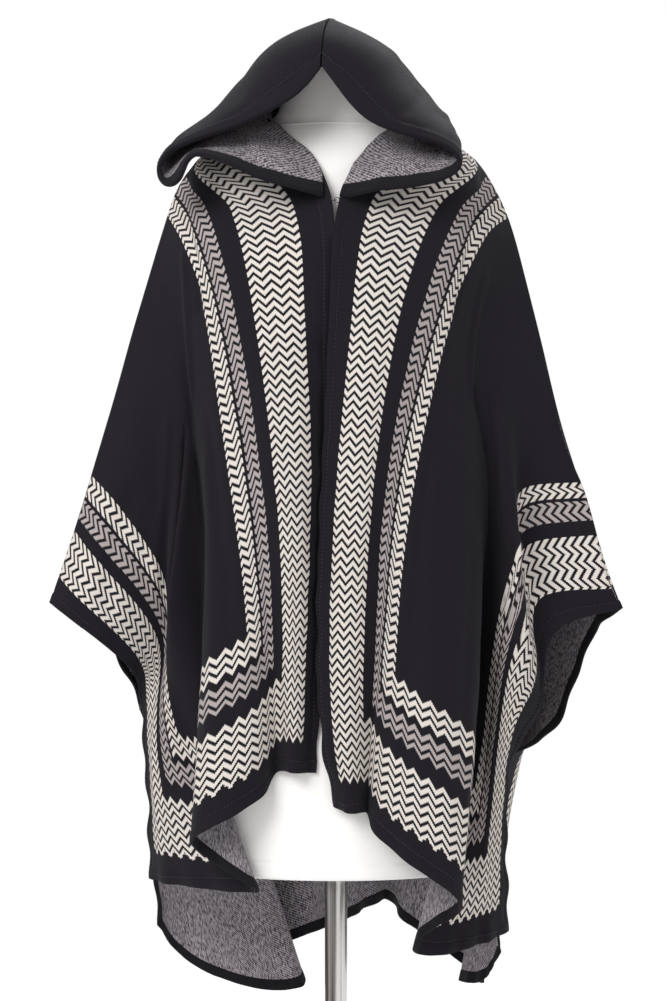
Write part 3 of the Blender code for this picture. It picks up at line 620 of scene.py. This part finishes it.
def panel(name, facts, steps, acrossFine, alongFine):
    keys, coarse = hung(facts["table"], 2, steps)
    at = withLines(between(keys, acrossFine), hem["lines"])
    levels = np.arange(coarse.shape[1])
    lastStep = np.linalg.norm(coarse[:, -1] - coarse[:, -2], axis=-1).mean()
    lines = np.array(hem["lines"]) / lastStep
    places = withLines(between(levels, alongFine), lines, low=False)
    middle = refined(keys, coarse, at, levels, places)
    run = lengthsAlong(middle)
    total = run[:, -1:]
    u, up = np.broadcast_to(at[:, None], run.shape), total - run
    away = np.abs(u) if keys[0] < 0 else u
    edge = cloth["halfWidth"] - away if keys[0] < 0 else np.minimum(u, at[-1] - u)
    fromU, toU, fromLevel, toLevel, even = facts["shear"]
    slide = smoothStep(fromU, toU, away) * (1 - smoothStep(fromLevel, toLevel, places))[None, :]
    v = up + slide * (even - total)
    free = np.minimum(edge, up)
    lift = creaseLift(facts["creases"], u, up) + restless(u, up, cloth["uneven"])
    lift += ripples(np.where(edge < up, up, u), free, facts["ripple"])
    lift *= smoothStep(0, cloth["calmTop"], run)
    middle = settled(middle + outward(middle) * lift[..., None], cloth["rest"], 2)
    if keys[0] == 0:
        # no turned hem where the hood is sewn on: the pattern starts at the plain field there
        plain = knit["wide"][0] - 1
        edge = np.where((u < plain) & (places <= steps[0])[None, :], plain, edge)
    cut = np.stack((u, v, edge), -1)
    thing, face = shellOf(name, middle, free, hem, {"cut": cut}, (bandedFace, greyReverse))
    bakeMap(thing, *middle.shape[:2])
    return {
        "thing": thing, "middle": middle, "face": face, "at": at, "places": places,
        "area": areaOf(middle),
    }


backPanel["table"] = backTable()
frontSteps, backSteps = (5, 3, 3, 3, 3), (7, 3, 4, 4)
made = {
    "front_right": panel("frontRight", frontRight, frontSteps, 3, 7),
    "front_left": panel("frontLeft", frontLeft, frontSteps, 3, 7),
    "back": panel("backPanel", backPanel, backSteps, 3, 7),
}
print("panels made", {key: round(value["area"], 3) for key, value in made.items()})

# The hood: two halves joined down the crown and back, its free front edge turned to a soft roll.
hoodRight = {
    "table": rightHood, "flat": (0.42, 0.36), "side": -1, "long": 400,
    "creases": (
        (60, 20, 100, 190, 12, -1.8), (150, 30, 190, 240, 13, 1.8), (232, 20, 240, 170, 10, -2.0),
        (262, 30, 300, 230, 12, 1.8), (330, 40, 340, 200, 13, -1.4),
    ),
}
hoodLeft = {
    "table": leftHood, "flat": (0.42, 0.36), "side": 1, "long": 400,
    "creases": (
        (50, 30, 84, 210, 13, 1.6), (140, 20, 168, 220, 12, -1.8), (214, 30, 250, 240, 13, 1.7),
        (290, 30, 318, 220, 12, -1.7), (350, 40, 352, 190, 12, 1.2),
    ),
}
# The crown's seam leans across between two depths. The lower edge is drawn on to the neckline but for
# "short", fading out over "drawn". Creases fade out over "calmFoot" and, at the seam, "calmSeam".
hoodSeam = {
    "depths": (-108, 60), "across": (-16, 0), "gap": 0.5, "wallShare": 0.2,
    "short": 1.6, "drawn": 46, "calmFoot": 40, "calmSeam": 30,
}


def nearestOn(line, point):
    starts, steps = line[:-1], np.diff(line, axis=0)
    share = ((point - starts) * steps).sum(-1) / np.maximum((steps**2).sum(-1), 1e-9)
    places = starts + steps * np.clip(share, 0, 1)[:, None]
    return places[np.linalg.norm(places - point, axis=-1).argmin()]


def hoodHalf(name, facts, neckline):
    keys, coarse = hung(facts["table"], 3, 3)
    at = between(keys, 6)
    levels = np.arange(coarse.shape[1])
    firstStep = np.linalg.norm(coarse[:, 1] - coarse[:, 0], axis=-1).mean()
    places = withLines(between(levels, 6), np.array(hoodHem["lines"]) / firstStep, high=False)
    middle = refined(keys, coarse, at, levels, places)
    # the lower edge is drawn down on to the neckline
    rise = np.linalg.norm(np.cumsum(np.diff(middle, axis=0, prepend=middle[:1]), axis=0), axis=-1)
    for column in range(middle.shape[1]):
        low = middle[0, column]
        shift = nearestOn(neckline, low) - low
        length = np.linalg.norm(shift)
        shift *= max(length - hoodSeam["short"], 0) / max(length, 1e-6)
        middle[:, column] += (1 - smoothStep(0, hoodSeam["drawn"], rise[:, column]))[:, None] * shift
    fromFront = lengthsAlong(middle)
    u = np.broadcast_to((at * facts["long"])[:, None], fromFront.shape)
    lift = creaseLift(facts["creases"], u, fromFront) + restless(u, fromFront, cloth["hoodUneven"])
    lift *= smoothStep(0, hoodSeam["calmFoot"], rise)
    lift *= smoothStep(0, hoodSeam["calmSeam"], fromFront[:, -1:] - fromFront)
    middle = middle + outward(middle) * lift[..., None]
    seam = np.interp(middle[..., 1], hoodSeam["depths"], hoodSeam["across"])
    seam += facts["side"] * (hoodSeam["gap"] / 2 + cloth["wall"] * hoodSeam["wallShare"])
    keep = np.maximum if facts["side"] > 0 else np.minimum
    middle[..., 0] = keep(middle[..., 0], seam)
    middle = settled(middle, cloth["rest"], 2)
    # pattern coordinates: along the front edge, in from it, and how far from the edge
    inward = fromFront * hem["width"] / hoodHem["width"]
    cut = np.stack((u, inward, inward), -1)
    thing, face = shellOf(name, middle, fromFront, hoodHem, {"cut": cut}, (plainFace, greyReverse))
    bakeMap(thing, *middle.shape[:2])
    return {"thing": thing, "middle": middle, "face": face, "area": areaOf(middle)}


def necklineOf(front, side):
    # up the front's inner edge from the hook and round the back of the neck
    yoke = int(np.searchsorted(front["places"], frontSteps[0]))
    inner = front["middle"][0, yoke::-1]
    back = made["back"]
    low, high = (np.searchsorted(back["at"], value) for value in (-cloth["neckHalf"], cloth["neckHalf"]))
    nape = back["middle"][low : high + 1, 0]
    nape = nape if side < 0 else nape[::-1]
    return np.vstack((inner, nape))


made["hood_right"] = hoodHalf("hoodRight", hoodRight, necklineOf(made["front_right"], -1))
made["hood_left"] = hoodHalf("hoodLeft", hoodLeft, necklineOf(made["front_left"], 1))
print("hood made", {key: round(made[key]["area"], 3) for key in ("hood_right", "hood_left")})


# Hem stitches: small black stitches along the line where each hem is turned, set by Geometry Nodes.
hemThread = {"spacing": 4.2, "length": 2.6, "thickness": 0.7, "proud": 0.15}


def threadMaterial():
    # spun polyester thread, a little glossier than the knit around it
    material, tree, shader = finish("black polyester sewing thread", {"Roughness": 0.6})
    place = node(tree, "ShaderNodeTexCoord").outputs["Object"]
    twist = noise(tree, place, 1400.0, 2.0)
    tree.links.new(mixed(tree, twist, linear("#17151a"), linear("#37343c")), shader.inputs["Base Color"])
    return material


def stitchTree(material):
    tree = bpy.data.node_groups.new("hem stitches", "GeometryNodeTree")
    face = tree.interface
    face.new_socket("Geometry", in_out="INPUT", socket_type="NodeSocketGeometry")
    face.new_socket("Geometry", in_out="OUTPUT", socket_type="NodeSocketGeometry")
    for label, value in (("Spacing", "spacing"), ("Stitch length", "length"), ("Thickness", "thickness")):
        socket = face.new_socket(label, in_out="INPUT", socket_type="NodeSocketFloat")
        socket.default_value = hemThread[value] / 1000
    given = tree.nodes.new("NodeGroupInput")
    result = tree.nodes.new("NodeGroupOutput")
    curve = node(tree, "GeometryNodeMeshToCurve", {"Mesh": given.outputs["Geometry"]})
    even = node(tree, "GeometryNodeResampleCurve", {"Curve": curve.outputs[0]}, mode="LENGTH")
    tree.links.new(given.outputs["Spacing"], even.inputs["Length"])
    bead = node(tree, "GeometryNodeMeshIcoSphere", {"Radius": 0.5, "Subdivisions": 1})
    tangent = node(tree, "GeometryNodeInputTangent")
    turn = node(tree, "FunctionNodeAlignRotationToVector", {"Vector": tangent.outputs[0]}, axis="X")
    size = node(tree, "ShaderNodeCombineXYZ")
    tree.links.new(given.outputs["Stitch length"], size.inputs[0])
    tree.links.new(given.outputs["Thickness"], size.inputs[1])
    tree.links.new(given.outputs["Thickness"], size.inputs[2])
    beads = node(tree, "GeometryNodeInstanceOnPoints", {
        "Points": even.outputs[0], "Instance": bead.outputs[0], "Rotation": turn.outputs[0],
        "Scale": size.outputs[0],
    })
    real = node(tree, "GeometryNodeRealizeInstances", {"Geometry": beads.outputs[0]})
    coated = node(tree, "GeometryNodeSetMaterial", {"Geometry": real.outputs[0], "Material": material})
    tree.links.new(coated.outputs[0], result.inputs[0])
    return tree


def sewn(name, lines, tree):
    # every line of places becomes a chain of edges, and the tree sets a stitch at each step along it
    places, edges = [], []
    for line in lines:
        first = len(places)
        places += [tuple(place / 1000) for place in line]
        edges += [(first + k, first + k + 1) for k in range(len(line) - 1)]
    guide = bpy.data.meshes.new(name + "Guide")
    guide.from_pydata(places, edges, [])
    carrier = added(name + "Guide", guide)
    modifier = carrier.modifiers.new("stitches", "NODES")
    modifier.node_group = tree
    for socket in tree.interface.items_tree:
        if socket.in_out == "INPUT" and socket.name == "Spacing":
            modifier[socket.identifier] = hemThread["spacing"] / 1000
    graph = bpy.context.evaluated_depsgraph_get()
    data = bpy.data.meshes.new_from_object(carrier.evaluated_get(graph))
    data.name = name
    carrier.modifiers.remove(modifier)
    bpy.data.objects.remove(carrier, do_unlink=True)
    return added(name, data)


def proudFace(piece):
    return piece["face"] + outward(piece["middle"]) * hemThread["proud"]


def hemLines(piece, foot):
    # the stitch line on the face side of both side edges of a panel and of its foot
    face, at = proudFace(piece), piece["at"]
    rows = [int(np.abs(at - edge).argmin()) for edge in (at[0] + hem["stitch"], at[-1] - hem["stitch"])]
    return [face[row, : foot + 1] for row in rows] + [face[:, foot]]


thread = threadMaterial()
lines = []
for key in ("front_right", "front_left", "back"):
    piece = made[key]
    foot = piece["middle"].shape[1] - 1 - hem["lines"].index(hem["stitch"])
    lines += hemLines(piece, foot)
for key in ("hood_right", "hood_left"):
    lines.append(proudFace(made[key])[:, hoodHem["lines"].index(hoodHem["stitch"])])
stitching = sewn("hemStitches", lines, stitchTree(thread))
print("hems sewn", len(stitching.data.polygons), "faces")

# The dress form: a shell under stretched white cotton jersey, with the jersey's two seams.
form = {"sides": 96, "step": 9, "seams": (1373, 569), "groove": 0.7, "edge": 5, "dome": 5}


def roundSolid(name, rings, material, sharp=50):
    # a closed skin through level rings of places
    tall, wide = len(rings), len(rings[0])
    places = np.concatenate(rings) / 1000
    faces = []
    for low in range(tall - 1):
        for step in range(wide):
            after = (step + 1) % wide
            first, above = low * wide, (low + 1) * wide
            faces.append((first + step, first + after, above + after, above + step))
    faces.append(tuple(range(wide))[::-1])
    faces.append(tuple(range((tall - 1) * wide, tall * wide)))
    data = bpy.data.meshes.new(name)
    data.from_pydata(places.tolist(), [], faces)
    data.materials.append(material)
    data.shade_smooth()
    data.set_sharp_from_angle(angle=math.radians(sharp))
    return added(name, data)


def ringAt(ways, reach, up):
    # one level ring, its reach a number or one for each way
    return np.column_stack((ways * np.reshape(reach, (-1, 1)), np.full(len(ways), up)))


def compass(sides):
    angles = np.arange(sides) * 2 * math.pi / sides
    return np.stack((np.cos(angles), np.sin(angles)), -1)


def jersey():
    # cotton jersey pulled tight over a shell: matt, nearly white, its fine wales just break up the light
    values = {"Roughness": 0.8, "Specular IOR Level": 0.25, "Sheen Weight": 0.1}
    material, tree, shader = finish("white cotton jersey over a shell", values)
    place = node(tree, "ShaderNodeTexCoord").outputs["Object"]
    tone = noise(tree, place, 9.0)
    colour = mixed(tree, tone, linear("#efedea"), linear("#f8f7f5"))
    tree.links.new(colour, shader.inputs["Base Color"])
    ribs = noise(tree, place, 900.0, 2.0)
    raised(tree, shader, ribs, 0.15, 0.0003)
    return material


def formBody(material):
    low, high = formRings[0][0], formRings[-1][0]
    heights = np.arange(low + form["edge"], high - form["dome"], form["step"])
    seams = [height + off for height in form["seams"] for off in (-1.6, 0, 1.6)]
    heights = np.unique(np.concatenate((heights, seams)))
    ways = compass(form["sides"])
    reach = np.stack([formReach(ways, np.full(len(ways), up)) for up in heights])
    for _ in range(2):
        soft = reach.copy()
        soft[1:-1] = (reach[:-2] + 2 * reach[1:-1] + reach[2:]) / 4
        reach = np.minimum(soft, reach)
    for height in form["seams"]:
        reach[np.abs(heights - height) < 0.01] -= form["groove"]
    rings = [ringAt(ways, size, up) for size, up in zip(reach, heights)]
    for share in (0.35, 0.75, 1.0):
        # the lower edge turns in to the flat underside, the neck closes in a shallow dome
        turn = share * math.pi / 2
        draw = form["edge"] * (1 - math.cos(turn))
        rings.insert(0, ringAt(ways, reach[0] - draw, low + form["edge"] * (1 - math.sin(turn))))
    for share in (0.3, 0.6, 0.85, 1.0):
        size = math.sqrt(1 - (share * 0.97) ** 2)
        up = heights[-1] + (high - heights[-1]) * share
        rings.append(ringAt(ways, reach[-1] * size, up))
    return roundSolid("formBody", rings, material)


# the dark and light colours that the steel's painted reflections are mixed from
steelReflectionTone = {"dark": "#4a423d", "light": "#dedcda"}


def steel(name, along):
    # brushed chrome-plated tube and disc: light and dark streaks along the tube are painted reflections of
    # the room in its colour, and the fine brushing streaks also vary its roughness
    material, tree, shader = finish(name, {"Metallic": 1.0})
    place = node(tree, "ShaderNodeTexCoord").outputs["Object"]
    scale = (420.0, 420.0, 3.0) if along else (260.0, 260.0, 260.0)
    stretched = node(tree, "ShaderNodeMapping", {"Vector": place, "Scale": scale}).outputs[0]
    streak = noise(tree, stretched, 1.0)
    # broad light and dark bands along the tube: painted reflections of the room
    reflectionBands = noise(tree, stretched, 0.3, 1.0)
    share = sums(tree, "MULTIPLY_ADD", reflectionBands, 4.5, -1.9) if along else 0.4
    share = node(tree, "ShaderNodeClamp", {0: sums(tree, "MULTIPLY_ADD", streak, 0.5, share)}).outputs[0]
    colour = mixed(tree, share, linear(steelReflectionTone["dark"]), linear(steelReflectionTone["light"]))
    tree.links.new(colour, shader.inputs["Base Color"])
    rough = sums(tree, "MULTIPLY_ADD", streak, 0.16, 0.2)
    tree.links.new(rough, shader.inputs["Roughness"])
    return material


stand = {"poleRadius": 12.5, "baseRadius": 155, "flatRadius": 120, "baseHeight": 9, "edge": 3, "gap": 0.3}


def poleAndBase():
    ways, fine = compass(48), compass(96)
    tube = steel("brushed chrome-plated steel tube", True)
    disc = steel("brushed chrome-plated steel disc", False)
    low, high = stand["baseHeight"] + stand["gap"], formRings[0][0] - stand["gap"]
    radius, edge = stand["poleRadius"], stand["edge"]
    profile = [(radius - 0.6, low), (radius, low + 0.8)]
    profile += [(radius, up) for up in np.linspace(low + 30, high - 30, 12)]
    profile += [(radius, high - 0.8), (radius - 0.6, high)]
    pole = roundSolid("pole", [ringAt(ways, reach, up) for reach, up in profile], tube)
    outline = [(stand["baseRadius"], 0), (stand["baseRadius"], stand["baseHeight"] - edge)]
    for turn in np.radians((30, 60, 90)):
        reach = stand["baseRadius"] - edge * (1 - math.cos(turn))
        outline.append((reach, outline[1][1] + edge * math.sin(turn)))
    outline.append((stand["flatRadius"], stand["baseHeight"]))
    base = roundSolid("base", [ringAt(fine, reach, up) for reach, up in outline], disc, 60)
    return pole, base


formPiece = formBody(jersey())
pole, base = poleAndBase()
print("form, pole and base made")


# The hooks and eyes: bent enamelled wire, as in the solids. The sewing loops at their feet aren't made.
closure = {"wire": 0.45, "eyeHeight": 5.2, "corner": 0.8, "bend": 1.3}


def enamelled():
    # black enamelled brass wire, with small bright patches painted into its colour at random as glints
    material, tree, shader = finish("black enamelled wire", {"Metallic": 0.7, "Roughness": 0.32})
    place = node(tree, "ShaderNodeTexCoord").outputs["Object"]
    paintedGlint = noise(tree, place, 700.0, 2.0)
    # where the noise is high the colour turns bright: painted glints
    share = sums(tree, "GREATER_THAN", paintedGlint, 0.62)
    tree.links.new(mixed(tree, share, linear("#3a393b"), linear("#b9b5ad")), shader.inputs["Base Color"])
    return material


def wire(name, points, closed, material):
    curve = bpy.data.curves.new(name, "CURVE")
    curve.dimensions = "3D"
    curve.bevel_depth = closure["wire"] / 1000
    curve.bevel_resolution = 3
    curve.resolution_u = 6
    curve.use_fill_caps = True
    spline = curve.splines.new("BEZIER")
    spline.bezier_points.add(len(points) - 1)
    for spot, point in zip(spline.bezier_points, points):
        spot.co = [value / 1000 for value in point]
        spot.handle_left_type = spot.handle_right_type = "AUTO"
    spline.use_cyclic_u = closed
    curve.materials.append(material)
    carrier = added(name, curve)
    data = bpy.data.meshes.new_from_object(carrier.evaluated_get(bpy.context.evaluated_depsgraph_get()))
    bpy.data.objects.remove(carrier, do_unlink=True)
    data.name = name
    data.shade_smooth()
    return added(name, data)


def hookAndEye(name, hookBox, eyeBox, material):
    # both stand where their solids are, the hook bent round the eye's near side
    hookLow, hookHigh = (np.array(corner) * 1000 for corner in hookBox)
    eyeLow, eyeHigh = (np.array(corner) * 1000 for corner in eyeBox)
    hookMiddle, eyeMiddle = (hookLow + hookHigh) / 2, (eyeLow + eyeHigh) / 2
    reach = eyeMiddle - hookMiddle
    reach[2] = 0
    along = reach / np.linalg.norm(reach)
    out = np.array((along[1], -along[0], 0))
    tall = closure["eyeHeight"] / 2
    wide = np.abs((eyeHigh - eyeLow)[:2] @ np.abs(along[:2])) - 2 * closure["wire"]
    long = np.abs((hookHigh - hookLow)[:2] @ np.abs(along[:2])) - 2 * closure["wire"]

    def eyeSpot(x, z):
        return eyeMiddle + along * x + np.array((0, 0, z))

    def hookSpot(x, y):
        return hookMiddle + along * x + out * y

    half, flat = wide / 2 * 0.9, tall - closure["corner"]
    corners = ((-half, flat), (0, tall), (half, flat), (half, -flat), (0, -tall), (-half, -flat))
    loop = [eyeSpot(x, z) for x, z in corners]
    bend, end = closure["bend"] * 0.95, long / 2
    path = [hookSpot(x, y) for x, y in ((-end, bend), (0, bend), (end, 0), (0, -bend), (-end, -bend))]
    return wire(name + "Hook", path, False, material), wire(name + "Eye", loop, True, material)


enamel = enamelled()
closures = {}
for label, solid in (("neck", "neck"), ("sideRight", "side_right"), ("sideLeft", "side_left")):
    hook, eye = hookAndEye(label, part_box(solid + "_hook"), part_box(solid + "_eye"), enamel)
    closures[solid + "_hook"], closures[solid + "_eye"] = hook, eye
print("closures made")


# The studio: white all round, a large soft light high on the left, a weaker one on the right and one behind.
# Powers are in watts, and the floor's sizes in metres.
studio = {
    "room": 0.62, "wall": 1.0, "key": 70, "fill": 14, "back": 80,
    "floor": 2.2, "floorSides": 64, "floorUp": -0.0005,
}


def softLight(name, place, aim, size, power):
    light = bpy.data.lights.new(name, "AREA")
    light.shape = "RECTANGLE"
    light.size, light.size_y = size
    light.energy = power
    thing = added(name, light)
    thing.location = place
    thing.rotation_euler = (Vector(aim) - Vector(place)).to_track_quat("-Z", "Y").to_euler()


world = bpy.data.worlds.new("white studio")
bpy.context.scene.world = world
world.use_nodes = True
world.node_tree.nodes["Background"].inputs[0].default_value = (1, 1, 1, 1)
# the studio walls behind the object are blown out to white, and light it less than that
seenWall = node(world.node_tree, "ShaderNodeLightPath").outputs["Is Camera Ray"]
glow = sums(world.node_tree, "MULTIPLY_ADD", seenWall, studio["wall"] - studio["room"], studio["room"])
world.node_tree.links.new(glow, world.node_tree.nodes["Background"].inputs[1])
softLight("keyLight", (-1.6, -2.2, 2.6), (0, 0, 1.0), (1.6, 1.6), studio["key"])
softLight("fillLight", (2.2, -1.8, 1.4), (0, 0, 0.9), (1.4, 2.0), studio["fill"])
softLight("backLight", (0.9, 2.2, 3.4), (0, 0, 0.9), (2.4, 1.6), studio["back"])

floorData = bpy.data.meshes.new("floor")
turns = np.arange(studio["floorSides"]) * 2 * math.pi / studio["floorSides"]
ring = [(studio["floor"] * math.cos(a), studio["floor"] * math.sin(a), studio["floorUp"]) for a in turns]
floorData.from_pydata(ring, [], [tuple(range(len(ring)))])
floor = added("floor", floorData)
paper = finish("pale paper floor", {"Base Color": linear("#f7f7f7"), "Roughness": 0.9})
floorData.materials.append(paper[0])

lens = bpy.data.cameras.new("camera")
lens.sensor_width = sight["sensor"]
lens.lens = sight["lens"]
camera = added("camera", lens)
camera.location = (sight["across"] / 1000, -sight["distance"] / 1000, sight["height"] / 1000)
camera.rotation_euler = (math.pi / 2, 0, 0)
bpy.context.scene.camera = camera
bpy.context.scene.view_settings.view_transform = "Standard"


# Each piece rides on the part's one body and stands for its solid.
stands = {key: piece["thing"] for key, piece in made.items()}
stands.update({"dress_form": formPiece, "stand_pole": pole, "stand_base": base}, **closures)
for key, thing in stands.items():
    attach(thing, "root")
    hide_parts(key)
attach(stitching, "root")
